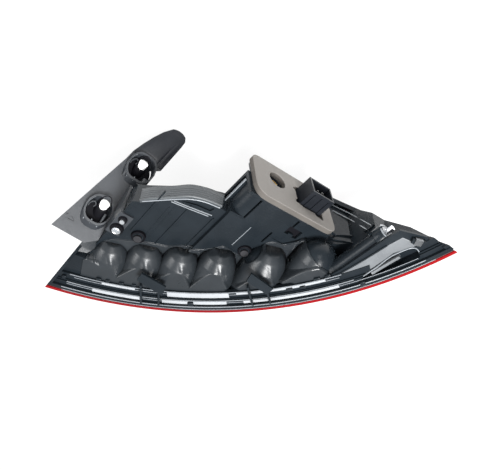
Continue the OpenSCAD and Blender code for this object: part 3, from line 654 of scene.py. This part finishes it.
tube_ring("tube_ring", [(252.5, 6.8), (252.5, 8.6), (253.2, 9.4), (261.4, 9.4), (262.4, 8.8), (262.8, 8.0),
                        (262.2, 6.8)], housing_black)
tube_ring("tube_edge", [(262.2, 7.2), (262.5, 8.9), (263.0, 9.1), (263.4, 8.6), (263.5, 7.6), (263.2, 7.1)],
          highlight_black)
fins = []
for points, up in (([(205.0, 250.2, -20.8), (204.4, 257, -18.4), (203.9, 265.5, -18.2)], (-1, 0, 0.2)),
                   ([(213.4, 239.8, -41.1), (213.4, 245.9, -39.6), (213.4, 251.9, -41.1)], (-1, 0, 0))):
    fins.append(ribbon("fin", line(points, 16), 0.6, 1.8, housing_black, up=up, square=6,
                       taper=np.linspace(1, 0.5, 16)))
joined("tube_fins", fins)
waves = []
for points in ([(194.6, 212.8, -49.9), (202.2, 211.9, -52), (206.9, 216.6, -50.9), (213.4, 224.5, -47.9)],
               [(197.8, 207.3, -50.3), (201.6, 211.2, -44.7), (208.4, 218.0, -41.5), (213.5, 223.5, -38)]):
    waves.append(ribbon("wave", line(points, 60), 0.5, 1.3, housing_black, up=(-0.7, 0.7, 0),
                        square=5))
joined("wave_ribs", waves)
# The far ridges take the lighter plastic, a painted highlight.
far_ridges = []
for points in ([(203.0, 212.4, -92.8), (213.5, 225.7, -72.7), (213.5, 244, -39)],
               [(202.8, 212.2, -103.6), (213.5, 228.2, -79.3), (213.5, 248.4, -42.7)]):
    far_ridges.append(ribbon("far", line(points, 30), 0.5, 0.7, highlight_black, up=(-1, 0.3, 0),
                             count=10))
joined("far_ridges", far_ridges)


# Mounting arm: inside each cup, upright ribs grip the plug's skirt, a hooked lip stands at its
# rim and a stop block fills the side away from the housing. A crease stiffens the upper leaf.
half_root = math.sqrt(0.5)
arm_up = (0, half_root, half_root)


def on_arm(x, along, above):
    """Point on the arm: outboard, down its slope of 45 degrees, and square out of its face."""
    down, out = along * half_root, above * half_root
    return np.array([x, 61 + down + out, -20 - down + out])


def in_cup(x, z, above):
    """Point over the arm's face at a given X and Z: the cups stand along Y, whatever the slope."""
    return np.array([x, 41 + above * math.sqrt(2) - z, z])


def stadium(middle, long, tall, count=60):
    """Outline of a cup in X and Z: two half circles joined by straight sides."""
    turn = np.linspace(0, 2 * np.pi, count, endpoint=False)
    x = middle[0] + np.cos(turn) * tall / 2 + np.where(np.cos(turn) > 0, 1, -1) * (long - tall) / 2
    return np.column_stack([x, middle[1] + np.sin(turn) * tall / 2])


def cup_block(outline, top, foot):
    """Closed block over an outline of X and Z, between two distances from the arm's face."""
    return prism([in_cup(x, z, top) for x, z in outline], [in_cup(x, z, foot) for x, z in outline])


arm_black = moulded("arm_black", (0.014, 0.016, 0.019), (0.30, 0.44), 0.6, 0.03, scuffs=0.8, shine=0.33)
dress("mounting_arm", arm_black)
cups = [((1, -41), 28, 21, (3, -46.9)), ((15, -82), 30, 21, (14.5, -85.4))]
cup_floor = -2.7
collar_profile = [(4.85, -2.2), (4.85, 4.9), (5.2, 5.35), (6.0, 5.35), (6.35, 4.9), (6.35, -2.2)]
wells = []
for middle, long, tall, plug in cups:
    wells.append(cup_block(stadium(middle, long - 3.6, tall - 3.6), 6.5, cup_floor))
carved_copy("arm_shell", "mounting_arm", wells, arm_black)
# Cup floors are laid in the dark plastic as painted shade in the cups; rims and ribs in the lighter plastic
# as painted highlight.
floors, collars, rims, ribs = [], [], [], []
for middle, long, tall, plug in cups:
    points, faces = cup_block(stadium(middle, long - 3.2, tall - 3.2), cup_floor + 0.5, cup_floor - 0.3)
    floors.append(piece("floor", at(points), faces, dull_shade_black))
    turn = np.linspace(0, 2 * np.pi, 48, endpoint=False)
    ring = np.stack([[in_cup(plug[0] + r * math.cos(t), plug[1] + r * math.sin(t), h) for t in turn]
                     for r, h in collar_profile], 1)
    collars.append(piece("collar", at(ring.reshape(-1, 3)), grid_faces(48, 6, True, True), dull_shade_black))
    edge = stadium(middle, long - 2.6, tall - 2.6, 120)[4:78]
    path = [in_cup(x, z, 4.75) for x, z in edge]
    rims.append(ribbon("rim", path, 0.5, 0.45, highlight_black, up=arm_up))
    for aside, length, inset in ((-8.5, 2.4, 0.6), (-1.0, 3.0, 0), (6.5, 2.6, 0)):
        x, wall = middle[0] + aside, middle[1] + (tall - 3.6) / 2 - inset
        path = [in_cup(x, z, 2.2) for z in (wall + 0.4, wall - length * 0.5, wall - length)]
        ribs.append(ribbon("rib", path, 0.45, 2.3, highlight_black, up=arm_up, square=8))
blocks = []
for x, z, half_width, half_length, high in ((25.0, -77.5, 2.9, 2.6, 3.6), (21.0, -74.5, 2.4, 1.4, 4.4),
                                            (9.3, -40.5, 1.3, 4.0, 2.0), (3.4, -76.0, 1.2, 2.6, 4.4)):
    path = [in_cup(x, z + step, high / 2 - 1) for step in (-half_length, 0, half_length)]
    blocks.append(ribbon("block", path, half_width, high / 2 + 1.2, arm_black, up=arm_up, square=8))
hook_bends = [(-1.6, 2.2), (-0.6, -1.2), (2.4, -2.8), (4.6, -1.2), (3.6, 0.8)]
hooks = []
for middle, long, tall, plug in cups:
    x, z = middle[0] - long / 2 + 4.4, middle[1] - 1.5
    path = line([in_cup(x + a, z + b, 4.2) for a, b in hook_bends], 40)
    hooks.append(ribbon("hook", path, 0.5, 1.0, arm_black, up=arm_up))
for name, group in (("cup_shade_floors", floors), ("plug_collars", collars), ("cup_rims", rims), ("cup_ribs", ribs),
                    ("cup_blocks", blocks), ("cup_hooks", hooks)):
    joined(name, group)

leaf_black = moulded("leaf_black", (0.008, 0.009, 0.011), (0.34, 0.46), 0.6, 0.03, shine=0.15, warp=0.3)
along = np.linspace(0, 1, 60)[:, None]
sideways = np.linspace(0, 1, 40)[None, :]
far_down = 103.5 + 44.0 * along
left_edge = 0.5 + np.interp(far_down, [94, 104, 115.5, 127.5, 138, 146.5, 147.8],
                            [-2, 0, 4.5, 10, 16, 23, 26.5])
right_edge = np.interp(far_down, [102, 136, 142, 146, 147.8], [34, 40, 40.5, 38.5, 34.5]) - 0.5
edge_fall = np.minimum(np.minimum(sideways, 1 - sideways) * 8, np.minimum(along * 6, (1 - along) * 8))
crown = 2.0 * np.sin(np.pi * sideways) ** 0.8 * np.sin(np.pi * np.clip(0.08 + along * 0.86, 0, 1))
crease = -0.9 * np.exp(-((sideways - (0.80 - 0.05 * along)) / 0.028) ** 2) * np.clip(1.5 - 1.9 * along, 0, 1)
leaf_height = 0.12 + (crown + crease) * np.clip(edge_fall, 0, 1)
leaf_x = left_edge + (right_edge - left_edge) * sideways
leaf = np.moveaxis(on_arm(*np.broadcast_arrays(leaf_x, far_down, leaf_height)), 0, -1)
arm_leaf = piece("arm_leaf", at(leaf.reshape(-1, 3)), grid_faces(60, 40), leaf_black)
arm_leaf.data.flip_normals()
skin_wall = arm_leaf.modifiers.new("wall", "SOLIDIFY")
skin_wall.thickness = 0.0006
skin_wall.offset = -1
marks = []
for points in ([(-19.3, 13), (-13.1, 13.4), (-17.1, 16.6)], [(-22.5, 15.5), (-20.8, 17.4)]):
    path = line([on_arm(x, down, 0.1) for x, down in points], 20)
    marks.append(ribbon("mark", path, 0.18, 0.12, dull_shade_black, up=arm_up, count=8))
for k in range(7):
    start = np.array([2.6, 99.4]) + np.array([5.9, 10.1]) * k / 7
    path = line([on_arm(*start, 0.1), on_arm(*(start + [0.45, 0.8]), 0.1)], 4)
    marks.append(ribbon("mark", path, 0.2, 0.14, dull_shade_black, up=arm_up, count=8))
joined("arm_marks", marks)


# Heads of the arm's screw and stud: rolled rings pressed in the head, and a black moulded
# collar that stands round each on the tab. Cover screws have a raised boss rim and a star recess.
def turned(name, middle, profile, material):
    """A ring turned about an upright axis, from a closed profile of radius and height in millimetres."""
    turn = np.linspace(0, 2 * np.pi, 48, endpoint=False)[:, None]
    radius, height = np.asarray(profile, float).T[:, None]
    ring = np.stack([middle[0] + radius * np.cos(turn), middle[1] + radius * np.sin(turn),
                     height + 0 * turn], -1)
    faces = grid_faces(48, len(profile), round_rows=True, round_columns=True)
    thing = piece(name, at(ring.reshape(-1, 3)), faces, material)
    thing.data.flip_normals()
    thing.data.set_sharp_from_angle(angle=math.radians(38))
    return thing


zinc = moulded("zinc_plate", (0.42, 0.44, 0.46), (0.22, 0.42), 0.4, 0.02, metal=1.0, mottle=0.18, warp=0.05)
screw_at, stud_at = (22, 97), (21, 110)
turned("screw_ring", screw_at, [(2.5, -18.2), (2.6, -17.7), (3.0, -17.5), (3.4, -17.7), (3.5, -18.2)], zinc)
turned("screw_pip", screw_at, [(0.3, -18.2), (0.4, -17.6), (1.1, -17.5), (1.3, -18.2)], zinc)
screw_collar = [(4.4, -23.0), (4.4, -20.0), (4.8, -19.5), (6.0, -19.5), (6.5, -20.2), (6.6, -23.0)]
stud_collar = [(2.6, -23.0), (2.6, -20.6), (3.0, -20.2), (3.9, -20.2), (4.3, -20.7), (4.4, -23.0)]
joined("tab_collars", [turned("collar", screw_at, screw_collar, dull_shade_black),
                       turned("collar", stud_at, stud_collar, dull_shade_black)])
boss_rims, stars = [], []
turn = np.linspace(0, 2 * np.pi, 72, endpoint=False)[:, None]
lobes = 1.0 + 0.22 * np.cos(6 * turn)
star_radius = np.array([4.6, 3.2, 2.5, 1.9, 0.15]) * np.where([0, 0, 1, 1, 0], lobes, 1)
star_height = np.array([-1.6, -0.9, -0.8, -2.2, -2.3])
for x, y, top in ((44, 99, -24.0), (138, 147, -33.0)):
    boss = [(5.0, top - 5), (5.0, top - 0.4), (5.4, top + 0.5), (6.2, top + 0.7), (6.9, top + 0.2),
            (7.2, top - 1.2), (7.2, top - 5)]
    boss_rims.append(turned("boss", (x, y), boss, dull_shade_black))
    # The star recess is laid in the lighter plastic, a painted highlight.
    star = np.stack([x + star_radius * np.cos(turn), y + star_radius * np.sin(turn),
                     np.broadcast_to(top + star_height, star_radius.shape)], -1)
    faces = grid_faces(72, 5, round_rows=True).tolist() + [list(range(4, 360, 5))]
    stars.append(piece("star", at(star.reshape(-1, 3)), faces, highlight_black))
joined("boss_rims", boss_rims)
joined("screw_recesses", stars)


# Outer lens: one red acrylic moulding, 3 mm thick, welded to the housing round its edge.
# Its outside is polished, and fine upright flutes on its inside spread the light.
def clear_plastic(name, colour, flutes, see_through, end_highlight_tint=None):
    """Glass-like plastic: waves across the rim's middle bend the light as flutes do, and a faint noise
    makes the polish uneven. A ramp along X paints both ends a lighter colour, a painted highlight."""
    material = bpy.data.materials.new(name)
    material.use_nodes = True
    tree = material.node_tree
    skin = tree.nodes["Principled BSDF"]
    for key, value in (("Base Color", (*colour, 1)), ("Transmission Weight", see_through), ("IOR", 1.49),
                       ("Specular IOR Level", 0.15), ("Coat Weight", 0.03), ("Coat Roughness", 0.03)):
        skin.inputs[key].default_value = value
    where = shader(tree, "TexCoord")
    if end_highlight_tint:
        split = shader(tree, "SeparateXYZ")
        reach = shader(tree, "MapRange", From_Min=-0.145, From_Max=0.12)
        ramp = shader(tree, "ValToRGB")
        stops = ((0.0, end_highlight_tint), (0.10, colour), (0.62, colour), (0.86, end_highlight_tint))
        for k, (place, tint) in enumerate(stops):
            stop = ramp.color_ramp.elements[k] if k < 2 else ramp.color_ramp.elements.new(place)
            stop.position = place
            stop.color = (*tint, 1)
        wire(tree, (where, "Object", split, 0), (split, "X", reach, "Value"), (reach, "Result", ramp, "Fac"),
             (ramp, "Color", skin, "Base Color"))
    centre = shader(tree, "Mapping", Location=tuple(-at([*rim_middle, 0])))
    wave = shader(tree, "TexWave", Scale=flutes, Distortion=0.0)
    wave.wave_type = "BANDS"
    wave.bands_direction = "DIAGONAL"
    polish = shader(tree, "TexNoise", Scale=70)
    rough = shader(tree, "MapRange", To_Min=0.04, To_Max=0.14)
    bump = shader(tree, "Bump", Strength=0.25, Distance=0.0003)
    wire(tree, (where, "Object", centre, "Vector"), (centre, "Vector", wave, "Vector"),
         (where, "Object", polish, "Vector"), (polish, "Fac", rough, "Value"),
         (rough, "Result", skin, "Roughness"), (wave, "Fac", bump, "Height"),
         (bump, "Normal", skin, "Normal"))
    return material


# The lens's ends are painted a lighter red, a painted highlight.
lens_red = clear_plastic("lens_red", (0.10, 0.0008, 0.002), 90, 0.04, end_highlight_tint=(0.13, 0.0008, 0.002))
dress("outer_lens", lens_red)

# Sealing bead: black hot-melt, laid in the joint between lens and housing before they are
# pressed together. It stays slightly soft and a little uneven.
bead_black = moulded("bead_black", (0.012, 0.012, 0.013), (0.45, 0.62), 1.6, 0.08)
dress("lens_seal", bead_black)

# Plugs: white nylon clips pressed through the cups of the arm, with a dished head.
nylon_white = moulded("nylon_white", (0.80, 0.80, 0.78), (0.30, 0.42), 0.8, 0.02, mottle=0.05, scuffs=0.2,
                      warp=0.05)
dress("arm_plugs", nylon_white)

# Screw and stud of the arm: zinc-plated steel, bright with a faint grey bloom.
dress("arm_screw", zinc)
dress("arm_stud", zinc)

# Fixing insert: a turned brass bush with the thread for the stud that holds the lamp.
brass = moulded("brass", (0.62, 0.42, 0.16), (0.25, 0.40), 0.4, 0.02, metal=1.0)
dress("fixing_insert", brass)

# Connector: glass-filled nylon, black and slightly dusty, round tinned blades.
connector_black = moulded("connector_black", (0.006, 0.007, 0.009), (0.32, 0.46), 0.4, 0.04, shine=0.1)
dress("connector_body", connector_black)
tin = moulded("tin", (0.70, 0.70, 0.68), (0.25, 0.38), 0.3, 0.01, metal=1.0)
dress("connector_blades", tin)

# Locating pin and bush: a steel pin that finds its hole in the body, held in a nylon bush.
pin_steel = moulded("pin_steel", (0.42, 0.43, 0.45), (0.22, 0.35), 0.3, 0.015, metal=1.0)
dress("locating_pin", pin_steel)
bush_grey = moulded("bush_grey", (0.10, 0.105, 0.11), (0.35, 0.5), 0.4, 0.03)
dress("tube_bush", bush_grey)

# Cover screws: black-oxide steel, sunk into their bosses.
screw_black = moulded("screw_black", (0.05, 0.05, 0.055), (0.22, 0.38), 0.3, 0.03, metal=0.85)
dress("cover_screws", screw_black)

# Inner pieces that show through the lens: metallised bowls on an aluminium sheet and a
# board with chips, and under them a trough, its own board, a clear curtain and a reflector strip.
mirror = moulded("mirror", (0.86, 0.87, 0.88), (0.06, 0.12), 0.5, 0.005, metal=1.0, mottle=0.03, scuffs=0.1)
dress("reflector", mirror)
sheet_metal = moulded("sheet_metal", (0.66, 0.67, 0.68), (0.28, 0.42), 0.3, 0.02, metal=1.0)
dress("heat_sheet", sheet_metal)
board_white = moulded("board_white", (0.74, 0.75, 0.72), (0.35, 0.5), 0.4, 0.01, mottle=0.06)
dress("led_board", board_white)
dress("lower_board", board_white)
chip_yellow = moulded("chip_yellow", (0.82, 0.66, 0.18), (0.3, 0.45), 0.3, 0.01, mottle=0.08)
dress("led_chips", chip_yellow)
dress("lower_chips", chip_yellow)
trough_white = moulded("trough_white", (0.72, 0.73, 0.74), (0.25, 0.4), 0.4, 0.01, mottle=0.06)
dress("lower_trough", trough_white)
curtain_clear = clear_plastic("curtain_clear", (0.93, 0.94, 0.95), 140, 0.8)
dress("light_curtain", curtain_clear)
reflex_red = clear_plastic("reflex_red", (0.70, 0.01, 0.02), 260, 0.3)
dress("reflex_strip", reflex_red)

# Vent cap and end clip: a grey breather cap under the lamp, and a spring-steel clip.
vent_grey = moulded("vent_grey", (0.12, 0.12, 0.125), (0.4, 0.55), 0.4, 0.04)
dress("vent_cap", vent_grey)
spring = moulded("spring_steel", (0.10, 0.105, 0.11), (0.25, 0.4), 0.3, 0.02, metal=1.0)
dress("end_clip", spring)


# Foam gasket: closed-cell foam, 6 mm thick, die cut with rounded corners and stuck to the
# tower. It gives a little at its edges, and the connector's opening has relief notches.
def rounded_corners(points, radii, steps=8):
    """Closed outline whose corners are eased: each one becomes a quadratic curve between its two legs."""
    points = np.asarray(points, float)
    out = []
    for k, radius in enumerate(radii):
        here, before, after = points[k], points[k - 1], points[(k + 1) % len(points)]
        back = here + (before - here) / np.linalg.norm(before - here) * radius
        on = here + (after - here) / np.linalg.norm(after - here) * radius
        t = np.linspace(0, 1, steps)[:, None]
        out.append((1 - t) ** 2 * back + 2 * t * (1 - t) * here + t ** 2 * on)
    return np.concatenate(out)


def soft_sheet(name, loops, low_y, high_y, ease, material):
    """A sheet cut to closed loops in the tower's frame, the first one its outside, filled between two
    Y values, with edges rolled over by the ease."""
    curve = bpy.data.curves.new(name, "CURVE")
    curve.dimensions = "2D"
    curve.fill_mode = "BOTH"
    curve.extrude = (high_y - low_y) / 2 - ease
    curve.bevel_depth = ease
    curve.bevel_resolution = 3
    curve.offset = -ease
    for loop in loops:
        spline = curve.splines.new("POLY")
        spline.points.add(len(loop) - 1)
        in_plane = np.column_stack([loop, np.zeros(len(loop)), np.ones(len(loop))])
        spline.points.foreach_set("co", in_plane.ravel())
        spline.use_cyclic_u = True
    holder = bpy.data.objects.new(name, curve)
    mesh = bpy.data.meshes.new_from_object(holder)
    bpy.data.objects.remove(holder)
    cut = np.empty(len(mesh.vertices) * 3)
    mesh.vertices.foreach_get("co", cut)
    across_tower, up_tower, from_middle = cut.reshape(-1, 3).T
    upright = on_tower(across_tower, (low_y + high_y) / 2 + from_middle, up_tower).T
    mesh.vertices.foreach_set("co", at(upright).ravel())
    mesh.flip_normals()
    mesh.materials.clear()
    mesh.materials.append(material)
    mesh.polygons.foreach_set("use_smooth", np.ones(len(mesh.polygons), bool))
    mesh.set_sharp_from_angle(angle=math.radians(50))
    thing = bpy.data.objects.new(name, mesh)
    bpy.context.collection.objects.link(thing)
    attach(thing, "root")
    return thing


foam_grey = moulded("foam_grey", (0.115, 0.108, 0.100), (0.75, 0.9), 0.7, 0.12, mottle=0.14, scuffs=0.1,
                    shine=0.2)
# For the die-cut sides: the darker colour is painted shade on the sides, the coarser grain the cut cells.
foam_cut_shade = moulded("foam_cut_shade", (0.060, 0.055, 0.050), (0.8, 0.95), 0.5, 0.25, mottle=0.3, scuffs=0.0,
                   shine=0.1)
gasket_edge = rounded_corners([(100.2, -63.4), (202.8, -63.4), (202.8, -7.2), (100.2, -7.2)],
                              [9, 9, 14, 16], 14)
turn = np.linspace(0, 2 * np.pi, 64, endpoint=False)
stud_hole = np.column_stack([129.3 + 9.8 * np.cos(turn), -41.1 + 9.8 * np.sin(turn)])
opening = rounded_corners([(153.4, -48.2), (186.6, -48.2), (186.6, -21.8), (186.0, -17.4), (177.2, -19.0),
                           (175.5, -21.8), (160, -21.8), (153.4, -24.0), (150.8, -24.0), (150.8, -29.2),
                           (153.4, -29.2), (153.4, -43.0), (151.2, -43.0), (151.2, -46.4), (153.4, -46.4)],
                          [1.5, 1.5, 0.6, 1.5, 1, 0.5, 1, 0.8, 0.8, 0.8, 0.6, 0.6, 0.6, 0.6, 0.6], 5)
gasket = soft_sheet("gasket_foam", [gasket_edge, stud_hole, opening], 212.02, 217.98, 0.7, foam_grey)
gasket.data.materials.append(foam_cut_shade)
on_side = [int(abs(p.normal.y) < 0.55) for p in gasket.data.polygons]
gasket.data.polygons.foreach_set("material_index", on_side)
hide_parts("foam_gasket")
